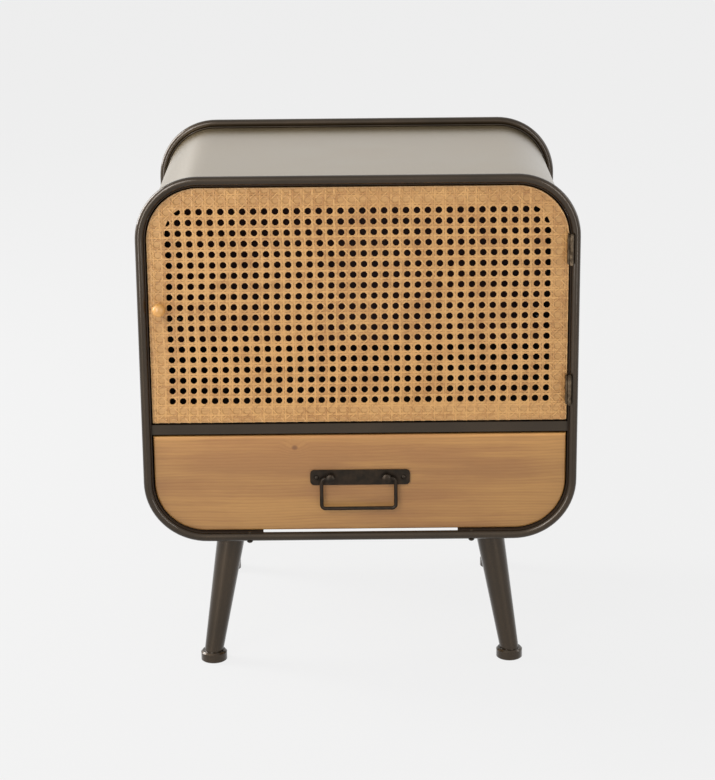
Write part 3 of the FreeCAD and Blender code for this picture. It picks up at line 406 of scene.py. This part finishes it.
def softwood(name, pale, tan, line, pith, ring, along="X", roughness=0.5, knot=None):
    """Softwood with its grain along one axis. The pith is the middle of the year rings, ring apart."""
    material, tree, shader = new_material(name)
    turn = {"X": (0, 0, 0), "Y": (0, 0, math.pi / 2), "Z": (0, math.pi / 2, 0)}[along]
    grain = add_node(tree, "ShaderNodeMapping", {"Vector": object_place(tree), "Rotation": turn}).outputs[0]
    # A trunk isn't straight: its rings wander by several millimetres over 300 mm of length.
    wander = add_node(tree, "ShaderNodeMapping", {"Vector": grain, "Scale": (3.0, 14.0, 14.0)})
    wander = noise(tree, wander.outputs[0], 1.0, 3.0)
    shift = add_node(tree, "ShaderNodeVectorMath", {0: wander.outputs["Color"], 1: (0.5, 0.5, 0.5)},
                     operation="SUBTRACT")
    shift = add_node(tree, "ShaderNodeVectorMath", {0: shift.outputs[0], 1: (0.0, 0.02, 0.02)},
                     operation="MULTIPLY")
    bent = add_node(tree, "ShaderNodeVectorMath", {0: grain, 1: shift.outputs[0]},
                    operation="ADD").outputs[0]
    if knot:
        near = add_node(tree, "ShaderNodeVectorMath", {0: grain, 1: knot}, operation="SUBTRACT")
        near = add_node(tree, "ShaderNodeVectorMath", {0: near.outputs[0], 1: (0.85, 0.0, 1.0)},
                        operation="MULTIPLY")
        reach = add_node(tree, "ShaderNodeVectorMath", {0: near.outputs[0]}, operation="LENGTH")
        bend = add_node(tree, "ShaderNodeMapRange", {"Value": reach.outputs["Value"], "From Min": 0.0,
                        "From Max": KNOT_REACH, "To Min": KNOT_BEND, "To Max": 0.0},
                        interpolation_type="SMOOTHERSTEP")
        push = add_node(tree, "ShaderNodeCombineXYZ", {"Y": bend.outputs[0], "Z": bend.outputs[0]})
        bent = add_node(tree, "ShaderNodeVectorMath", {0: bent, 1: push.outputs[0]},
                        operation="ADD").outputs[0]
    axis = add_node(tree, "ShaderNodeVectorMath", {0: bent, 1: pith}, operation="SUBTRACT")
    axis = add_node(tree, "ShaderNodeVectorMath", {0: axis.outputs[0], 1: (0.05, 1.0, 1.0)},
                    operation="MULTIPLY")
    radius = add_node(tree, "ShaderNodeVectorMath", {0: axis.outputs[0]}, operation="LENGTH")
    years = add_node(tree, "ShaderNodeMath", {0: radius.outputs["Value"], 1: ring}, operation="DIVIDE")
    year = add_node(tree, "ShaderNodeMath", {0: years.outputs[0]}, operation="FRACT")
    # Each year's growth darkens slowly and ends in a thin line.
    late = add_node(tree, "ShaderNodeValToRGB", {"Fac": year.outputs[0]})
    late.color_ramp.elements[0].color = (0.0, 0.0, 0.0, 1.0)
    late.color_ramp.elements[1].color = (0.0, 0.0, 0.0, 1.0)
    for position, value in ((0.5, 0.15), (0.82, 0.7)):
        late.color_ramp.elements.new(position).color = (value, value, value, 1.0)
    fibres = add_node(tree, "ShaderNodeMapping", {"Vector": bent, "Scale": (40.0, 1700.0, 1700.0)})
    fibres = noise(tree, fibres.outputs[0], 1.0, 3.0)
    streaks = add_node(tree, "ShaderNodeMapping", {"Vector": bent, "Scale": (5.0, 120.0, 120.0)})
    streaks = noise(tree, streaks.outputs[0], 1.0, 4.0)
    clouds = add_node(tree, "ShaderNodeMapping", {"Vector": grain, "Scale": (6.0, 15.0, 15.0)})
    clouds = noise(tree, clouds.outputs[0], 1.0, 3.0)
    tone = add_node(tree, "ShaderNodeMath", {0: streaks.outputs["Fac"], 1: 0.6, 2: clouds.outputs["Fac"]},
                    operation="MULTIPLY_ADD")
    ground = add_node(tree, "ShaderNodeValToRGB", {"Fac": tone.outputs[0]})
    ground.color_ramp.elements[0].position = 0.66
    ground.color_ramp.elements[0].color = linear(pale)
    ground.color_ramp.elements[1].position = 0.94
    ground.color_ramp.elements[1].color = linear(tan)
    weight = add_node(tree, "ShaderNodeMath", {0: late.outputs["Color"], 1: streaks.outputs["Fac"]},
                      operation="MULTIPLY")
    colour = add_node(tree, "ShaderNodeMix", {0: weight.outputs[0], 6: ground.outputs["Color"],
                      7: linear(line)}, data_type="RGBA").outputs[2]
    if knot:
        dark = add_node(tree, "ShaderNodeMapRange", {"Value": reach.outputs["Value"], "From Min": KNOT_CORE,
                        "From Max": KNOT_EDGE, "To Min": 0.75, "To Max": 0.0},
                        interpolation_type="SMOOTHSTEP")
        colour = add_node(tree, "ShaderNodeMix", {0: dark.outputs[0], 6: colour, 7: linear(KNOT_BROWN)},
                          data_type="RGBA").outputs[2]
    shade = add_node(tree, "ShaderNodeMapRange", {"Value": fibres.outputs["Fac"], "From Min": 0.3,
                     "From Max": 0.7, "To Min": 0.93, "To Max": 1.05})
    colour = add_node(tree, "ShaderNodeVectorMath", {0: colour, "Scale": shade.outputs[0]},
                      operation="SCALE")
    tree.links.new(colour.outputs[0], shader.inputs["Base Color"])
    bump = relief(tree, fibres.outputs["Fac"], 0.3, 0.00012)
    tree.links.new(bump.outputs[0], shader.inputs["Normal"])
    gloss = add_node(tree, "ShaderNodeMapRange", {"Value": late.outputs["Color"], "To Min": roughness,
                     "To Max": roughness - 0.12})
    tree.links.new(gloss.outputs[0], shader.inputs["Roughness"])
    return material


door_fir = softwood("oiled_fir_strip", "#cf9e60", "#c29052", "#ac783c", (0.0, -0.10, 0.50), 0.0031)
dress(door_fir, "door_frame")


# ---------------------------------------------------------------- cane webbing
# Split rattan woven by machine at a half-inch pitch: pairs of strands upright and level, woven over
# and under each other, and single strands on both slants that cut the corners of the open eyes.
EYE_WIDE = 0.0127
EYE_HIGH = 0.01275
MIDDLE_ROW_DROP = 0.0006    # middle row of eyes below the middle of the door
STRAND_WIDE = 0.0025        # upright and level strands
SLANT_WIDE = 0.0015
STRAND_THICK = 0.0005
PAIR_GAP = 0.0002
CORNER = 0.062              # upper corners of the door

web_low, web_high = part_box("cane_web")
web_y = (web_low.y + web_high.y) / 2
row_z = (web_low.z + web_high.z) / 2 - MIDDLE_ROW_DROP
periods_up = 2 * math.ceil((web_high.z - row_z) / EYE_HIGH)
periods_across = 2 * math.ceil(web_high.x / EYE_WIDE) + 2
first_z = row_z - periods_up / 2 * EYE_HIGH
first_x = -periods_across / 2 * EYE_WIDE


def strand(name, period, wide, levels):
    """One period of a strand along X, flat behind and crowned in front, that rises and falls by levels."""
    deselect()
    bpy.ops.mesh.primitive_cube_add(size=1)
    piece = bpy.context.object
    piece.name = name
    edit()
    bpy.ops.transform.resize(value=(period, STRAND_THICK, wide))
    bpy.ops.transform.translate(value=(period / 2, 0, 0))
    pick(piece, "FACE", lambda middle: middle.x < period * 0.01 or middle.x > period * 0.99)
    bpy.ops.mesh.delete(type="ONLY_FACE")
    bpy.ops.mesh.select_all(action="SELECT")
    bpy.ops.mesh.bisect(plane_co=(0, 0, 0), plane_no=(0, 0, 1))
    for phase, _ in levels:
        if phase > 0:
            bpy.ops.mesh.select_all(action="SELECT")
            bpy.ops.mesh.bisect(plane_co=(phase * period, 0, 0), plane_no=(1, 0, 0))
    pick(piece, "VERT", lambda middle: middle.y < 0 and abs(middle.z) > wide * 0.4)
    bpy.ops.transform.translate(value=(0, STRAND_THICK * 0.35, 0))
    bpy.ops.transform.resize(value=(1, 1, 0.86), center_override=(0, 0, 0))
    for phase, level in levels:
        if level:
            pick(piece, "VERT", lambda middle: abs(middle.x - phase * period) < period * 0.01)
            bpy.ops.transform.translate(value=(0, -level, 0))
    if levels[0][1]:
        pick(piece, "VERT", lambda middle: middle.x > period * 0.99)
        bpy.ops.transform.translate(value=(0, -levels[0][1], 0))
    done()
    layer = piece.data.uv_layers[0] if piece.data.uv_layers else piece.data.uv_layers.new(name="strand")
    layer.name = "strand"
    for loop in piece.data.loops:
        corner = piece.data.vertices[loop.vertex_index].co
        layer.data[loop.index].uv = (0.5 + corner.z / wide * 0.98, corner.x / period)
    return piece


def repeat(piece, count, step, along=0.0, across=0.0):
    """Copies in a row, merged where they meet; the pattern on each runs on from the last."""
    rows = piece.modifiers.new("row", "ARRAY")
    rows.count = count
    rows.use_relative_offset = False
    rows.use_constant_offset = True
    rows.constant_offset_displace = step
    rows.use_merge_vertices = True
    rows.merge_threshold = 0.00002
    rows.offset_v = along
    rows.offset_u = across


CORNER_REACH = 0.01         # the cuts of a corner look this far past its middle
LEAF_REACH = 0.008          # and those of a hinge this far past its leaf


def trim_to_door(piece):
    """Cut the weave along the door's outline and round the hinges."""
    deselect()
    piece.select_set(True)
    bpy.context.view_layer.objects.active = piece
    edit()
    for point, way in ((web_low, (-1, 0, 0)), (web_high, (1, 0, 0)), (web_low, (0, 0, -1)),
                       (web_high, (0, 0, 1))):
        bpy.ops.mesh.select_all(action="SELECT")
        bpy.ops.mesh.bisect(plane_co=point, plane_no=way, clear_outer=True, use_fill=True)
    for side in (-1, 1):
        middle_x = side * (web_high.x - CORNER)
        middle_z = web_high.z - CORNER
        pick(piece, "FACE", lambda middle: middle.x * side > abs(middle_x) - CORNER_REACH
             and middle.z > middle_z - CORNER_REACH)
        bpy.ops.mesh.hide(unselected=True)
        for step in range(ROUND_CUTS):
            angle = (step + 0.5) * math.pi / 2 / ROUND_CUTS
            way = Vector((side * math.cos(angle), 0, math.sin(angle)))
            bpy.ops.mesh.select_all(action="SELECT")
            bpy.ops.mesh.bisect(plane_co=Vector((middle_x, 0, middle_z)) + way * CORNER, plane_no=way,
                                clear_outer=True, use_fill=True)
        bpy.ops.mesh.reveal(select=False)
    for node in ("hinge_door_leaf_upper", "hinge_door_leaf_lower"):
        leaf_low, leaf_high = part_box(node)
        pick(piece, "FACE", lambda middle: middle.x > leaf_low.x - LEAF_REACH
             and leaf_low.z - CORNER_REACH < middle.z < leaf_high.z + CORNER_REACH)
        bpy.ops.mesh.hide(unselected=True)
        for point, way in ((leaf_low, (0, 0, 1)), (leaf_high, (0, 0, 1)), (leaf_low, (1, 0, 0))):
            bpy.ops.mesh.select_all(action="SELECT")
            bpy.ops.mesh.bisect(plane_co=point, plane_no=way)
        pick(piece, "FACE", lambda middle: middle.x > leaf_low.x and leaf_low.z < middle.z < leaf_high.z)
        bpy.ops.mesh.delete(type="FACE")
        bpy.ops.mesh.reveal(select=False)
    done()


ROUND_CUTS = 10
OVER = STRAND_THICK
HALF = STRAND_THICK / 2


def pair_levels(way):
    """Height of a paired strand along one eye: level beside the eye, over and under at the crossing."""
    return ((0, 0), (0.25, 0), (0.37, way * HALF), (0.5, 0), (0.63, -way * HALF), (0.75, 0))


def slant_levels(way):
    """Height of a slanting strand: over the pairs one way and under those the other way."""
    return ((0, way * OVER), (0.16, way * OVER * 0.9), (0.25, 0), (0.34, -way * OVER * 0.9),
            (0.5, -way * OVER), (0.66, -way * OVER * 0.9), (0.75, 0), (0.84, way * OVER * 0.9))


rattan, tree, shader = new_material("split_rattan")
# Rattan's skin is glossy tan; the strands differ from one to the next, and each has fine lines along
# it and a darker node now and then. Its cut edges are dull and a little darker.
strand_map = add_node(tree, "ShaderNodeUVMap", uv_map="strand")
parts = add_node(tree, "ShaderNodeSeparateXYZ", {0: strand_map.outputs[0]})
number = add_node(tree, "ShaderNodeMath", {0: parts.outputs["X"]}, operation="FLOOR")
across = add_node(tree, "ShaderNodeMath", {0: parts.outputs["X"]}, operation="FRACT")
own = add_node(tree, "ShaderNodeTexWhiteNoise", {"W": number.outputs[0]}, noise_dimensions="1D")
place = object_place(tree)
clouds = noise(tree, place, 38.0, 4.0, 0.6)
lines = add_node(tree, "ShaderNodeMapping", {"Vector": strand_map.outputs[0], "Scale": (9.0, 0.7, 1.0)})
lines = noise(tree, lines.outputs[0], 1.0, 3.0)
blend = add_node(tree, "ShaderNodeMath", {0: own.outputs["Value"], 1: 0.35, 2: clouds.outputs["Fac"]},
                 operation="MULTIPLY_ADD")
blend = add_node(tree, "ShaderNodeMath", {0: lines.outputs["Fac"], 1: 0.45, 2: blend.outputs[0]},
                 operation="MULTIPLY_ADD")
tones = add_node(tree, "ShaderNodeValToRGB", {"Fac": blend.outputs[0]})
tones.color_ramp.elements[0].position = 0.55
tones.color_ramp.elements[0].color = linear("#ad7940")
tones.color_ramp.elements[1].position = 1.15
tones.color_ramp.elements[1].color = linear("#d3a05f")
tones.color_ramp.elements.new(0.8).color = linear("#c08d50")
edge = add_node(tree, "ShaderNodeMath", {0: across.outputs[0], 1: 0.5}, operation="SUBTRACT")
edge = add_node(tree, "ShaderNodeMath", {0: edge.outputs[0]}, operation="ABSOLUTE")
edge = add_node(tree, "ShaderNodeMapRange", {"Value": edge.outputs[0], "From Min": 0.36, "From Max": 0.49,
                "To Min": 1.0, "To Max": 0.8})
colour = add_node(tree, "ShaderNodeVectorMath", {0: tones.outputs["Color"], "Scale": edge.outputs[0]},
                  operation="SCALE")
tree.links.new(colour.outputs[0], shader.inputs["Base Color"])
gloss = add_node(tree, "ShaderNodeMapRange",
                 {"Value": lines.outputs["Fac"], "To Min": 0.36, "To Max": 0.55})
tree.links.new(gloss.outputs[0], shader.inputs["Roughness"])
bump = relief(tree, lines.outputs["Fac"], 0.2, 0.0001)
tree.links.new(bump.outputs[0], shader.inputs["Normal"])

# Uprights: the first of each pair passes under the lower level strand and over the upper one.
PAIR_SHIFT = (STRAND_WIDE + PAIR_GAP) / 2
weave = []
for name, turn, period, count, row, step, start in (
        ("uprights", -math.pi / 2, EYE_HIGH, periods_up, periods_across + 1, (EYE_WIDE, 0, 0),
         Vector((first_x, web_y, first_z))),
        ("levels", 0.0, EYE_WIDE, periods_across + 1, periods_up, (0, 0, EYE_HIGH),
         Vector((first_x + EYE_WIDE / 2, web_y, first_z + EYE_HIGH / 2)))):
    pair = []
    for side in (-1, 1):
        way = side if name == "uprights" else -side
        one = strand("cane_" + name, period, STRAND_WIDE, pair_levels(way))
        repeat(one, count, (period, 0, 0), along=1.0)
        apply_all(one)
        one.rotation_euler = (0, turn, 0)
        beside = Vector(step).normalized() * side * PAIR_SHIFT
        one.location = start + beside - (Vector((EYE_WIDE, 0, 0)) if name == "levels" else Vector())
        settle(one)
        if side > 0:
            for loop in one.data.uv_layers["strand"].data:
                loop.uv.x += 1
        pair.append(one)
    deselect()
    for one in pair:
        one.select_set(True)
    bpy.context.view_layer.objects.active = pair[0]
    bpy.ops.object.join()
    repeat(pair[0], row, step, across=2.0)
    apply_all(pair[0])
    weave.append(pair[0])

# Slants: one leans right and passes under the uprights, the other leans left and passes over them.
slant_period = math.hypot(EYE_WIDE, EYE_HIGH)
lean = math.atan2(EYE_HIGH, EYE_WIDE)
for name, turn, way, start_x in (("right", -lean, -1, first_x - periods_up * EYE_WIDE),
                                 ("left", lean - math.pi, 1, first_x)):
    one = strand("cane_slants_" + name, slant_period, SLANT_WIDE, slant_levels(way))
    repeat(one, periods_up, (slant_period, 0, 0), along=1.0)
    apply_all(one)
    one.rotation_euler = (0, turn, 0)
    one.location = (start_x, web_y, first_z)
    settle(one)
    repeat(one, periods_across + periods_up + 1, (EYE_WIDE, 0, 0), across=1.0)
    apply_all(one)
    weave.append(one)

# The weave was stretched wet over the frame, and its uprights wander sideways as it dried.
WANDER = 0.0008
WANDER_PERIOD = 0.125
WANDER_STEPS = 8            # points of the cage in one period
deselect()
bpy.ops.object.add(type="LATTICE", location=(0, web_y, row_z - EYE_HIGH))
cage = bpy.context.object
cage_periods = 2 * math.ceil(periods_up * EYE_HIGH / WANDER_PERIOD / 2) + 2
cage.scale = (1.0, 1.0, cage_periods * WANDER_PERIOD)
cage.data.points_u = 2
cage.data.points_v = 2
cage.data.points_w = cage_periods * WANDER_STEPS + 1
for point in cage.data.points:
    point.co_deform.x -= WANDER * math.cos(2 * math.pi * cage_periods * point.co.z)

for piece in weave:
    bend = piece.modifiers.new("wander", "LATTICE")
    bend.object = cage
    apply_all(piece)
bpy.data.objects.remove(cage)

for piece in weave:
    trim_to_door(piece)
    bpy.ops.object.shade_smooth_by_angle(angle=math.radians(50))
    piece.data.materials.clear()
    piece.data.materials.append(rattan)
    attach(piece, "door")
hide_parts("cane_web")

# The cut ends of the strands are sanded round along the edge of the door. Their paler tone is partly the raw
# cane and partly a painted highlight along the edge.
cut_ends_and_highlight, tree, shader = new_material("sanded_cane_ends_and_highlight")
ends = noise(tree, object_place(tree), 420.0, 3.0)
tones = add_node(tree, "ShaderNodeValToRGB", {"Fac": ends.outputs["Fac"]})
tones.color_ramp.elements[0].position = 0.35
tones.color_ramp.elements[0].color = linear("#c3945c")
tones.color_ramp.elements[1].position = 0.65
tones.color_ramp.elements[1].color = linear("#e2b982")
bump = relief(tree, ends.outputs["Fac"], 0.4, 0.0003)
tree.links.new(tones.outputs["Color"], shader.inputs["Base Color"])
tree.links.new(bump.outputs[0], shader.inputs["Normal"])
shader.inputs["Roughness"].default_value = 0.6
ROUNDED = 0.0007
inward = Vector((ROUNDED, 0, ROUNDED))
edge_of_web = bead("cane_cut_ends", web_low + inward, web_high - inward, (CORNER - ROUNDED, 0),
                   web_low.y + ROUNDED, ROUNDED, cut_ends_and_highlight)
bpy.ops.object.shade_smooth_by_angle(angle=math.radians(50))
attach(edge_of_web, "door")


# ---------------------------------------------------------------- knob
# A small turned knob of beech, waxed: pale orange wood with short flecks, and brighter end grain.
knob_low, knob_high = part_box("door_knob")
beech = softwood("turned_beech", "#dfa962", "#d2984f", "#b17833",
                 ((knob_low.x + knob_high.x) / 2 + 0.004, 0.0, knob_low.z - 0.012), 0.0012,
                 along="Y", roughness=0.38)
dress(beech, "door_knob")


# ---------------------------------------------------------------- hinges and catch
# Butt hinges of blackened steel, rubbed bright on the knuckles, and a magnetic catch in brown plastic.
hinge_steel, tree, shader = new_material("rubbed_black_steel")
place = object_place(tree)
rubbed = noise(tree, place, 160.0, 5.0)
tones = add_node(tree, "ShaderNodeValToRGB", {"Fac": rubbed.outputs["Fac"]})
tones.color_ramp.elements[0].position = 0.35
tones.color_ramp.elements[0].color = linear("#372d21")
tones.color_ramp.elements[1].position = 0.68
tones.color_ramp.elements[1].color = linear("#6a5c4b")
tree.links.new(tones.outputs["Color"], shader.inputs["Base Color"])
gloss = add_node(tree, "ShaderNodeMapRange", {"Value": rubbed.outputs["Fac"], "To Min": 0.5, "To Max": 0.3})
tree.links.new(gloss.outputs[0], shader.inputs["Roughness"])
shader.inputs["Metallic"].default_value = 0.9
for level in ("upper", "lower"):
    dress(hinge_steel, "hinge_door_leaf_" + level, "hinge_frame_leaf_" + level, "hinge_pin_" + level)

brown_plastic, tree, shader = new_material("moulded_brown_abs")
place = object_place(tree)
grain = noise(tree, place, 1400.0, 2.0)
tones = add_node(tree, "ShaderNodeValToRGB", {"Fac": grain.outputs["Fac"]})
tones.color_ramp.elements[0].color = linear("#3b2a1e")
tones.color_ramp.elements[1].color = linear("#4a3628")
bump = relief(tree, grain.outputs["Fac"], 0.3, 0.0001)
tree.links.new(tones.outputs["Color"], shader.inputs["Base Color"])
tree.links.new(bump.outputs[0], shader.inputs["Normal"])
shader.inputs["Roughness"].default_value = 0.45
dress(brown_plastic, "magnetic_catch")


# ---------------------------------------------------------------- drawer
# The front is one board of oiled fir, its grain level, with softened edges and a pin knot. The box
# behind it is plain pale fir, doweled, and runs on hardwood strips.
front_low, front_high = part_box("drawer_front")
fir = softwood("oiled_fir_board", "#b38347", "#a0703e", "#8e5e30",
               (front_low.x * 0.35, front_high.y + 0.03, front_high.z + 0.06), 0.0037, roughness=0.46,
               knot=(-0.078, front_low.y, 0.2845))
dress(fir, "drawer_front")
# Painted light from above: the board is made paler towards its top, with a painted highlight along the
# softened upper edge.
TOP_LIGHT_FROM = 0.045           # below the top of the board
TOP_LIGHT_TO = 0.004
EDGE_HIGHLIGHT_FROM = 0.005
EDGE_HIGHLIGHT_TO = 0.001
tree = fir.node_tree
shader = tree.nodes["Principled BSDF"]
level = add_node(tree, "ShaderNodeSeparateXYZ", {0: object_place(tree)})
board = add_node(tree, "ShaderNodeMapRange",
                 {"Value": level.outputs["Z"], "From Min": front_high.z - TOP_LIGHT_FROM,
                  "From Max": front_high.z - TOP_LIGHT_TO, "To Min": 0.97, "To Max": 1.17})
edge_highlight = add_node(tree, "ShaderNodeMapRange", {"Value": level.outputs["Z"], "From Min": front_high.z - EDGE_HIGHLIGHT_FROM,
               "From Max": front_high.z - EDGE_HIGHLIGHT_TO, "To Min": 0.0, "To Max": 0.4})
painted_light = add_node(tree, "ShaderNodeMath", {0: board.outputs[0], 1: edge_highlight.outputs[0]}, operation="ADD")
colour = add_node(tree, "ShaderNodeVectorMath", {0: shader.inputs["Base Color"].links[0].from_socket,
                  "Scale": painted_light.outputs[0]}, operation="SCALE")
tree.links.new(colour.outputs[0], shader.inputs["Base Color"])
box_fir = softwood("planed_fir", "#dcc096", "#cfae80", "#b18d5c", (0.3, 0.0, 0.32), 0.0040, along="Y",
                   roughness=0.6)
dress(box_fir, "drawer_side_left", "drawer_side_right", "drawer_runner_left", "drawer_runner_right")
cross_fir = softwood("planed_fir_cross", "#dcc096", "#cfae80", "#b18d5c", (0.0, 0.3, 0.32), 0.0040,
                     roughness=0.6)
dress(cross_fir, "drawer_back", "drawer_bottom", "drawer_dowels")


# ---------------------------------------------------------------- drop pull
# Plate, posts and bail are iron, hammered a little, blackened in oil and waxed: nearly black, with
# brown in the hollows and soft bright edges.
iron, tree, shader = new_material("oil_blackened_iron")
place = object_place(tree)
hollows = noise(tree, place, 120.0, 4.0)
tones = add_node(tree, "ShaderNodeValToRGB", {"Fac": hollows.outputs["Fac"]})
tones.color_ramp.elements[0].position = 0.35
tones.color_ramp.elements[0].color = linear("#1e170e")
tones.color_ramp.elements[1].position = 0.7
tones.color_ramp.elements[1].color = linear("#32261a")
bump = relief(tree, hollows.outputs["Fac"], 0.25, 0.0005)
tree.links.new(tones.outputs["Color"], shader.inputs["Base Color"])
tree.links.new(bump.outputs[0], shader.inputs["Normal"])
shader.inputs["Metallic"].default_value = 0.7
shader.inputs["Roughness"].default_value = 0.42
dress(iron, "pull_plate", "pull_posts", "pull_bail", "pull_screws")
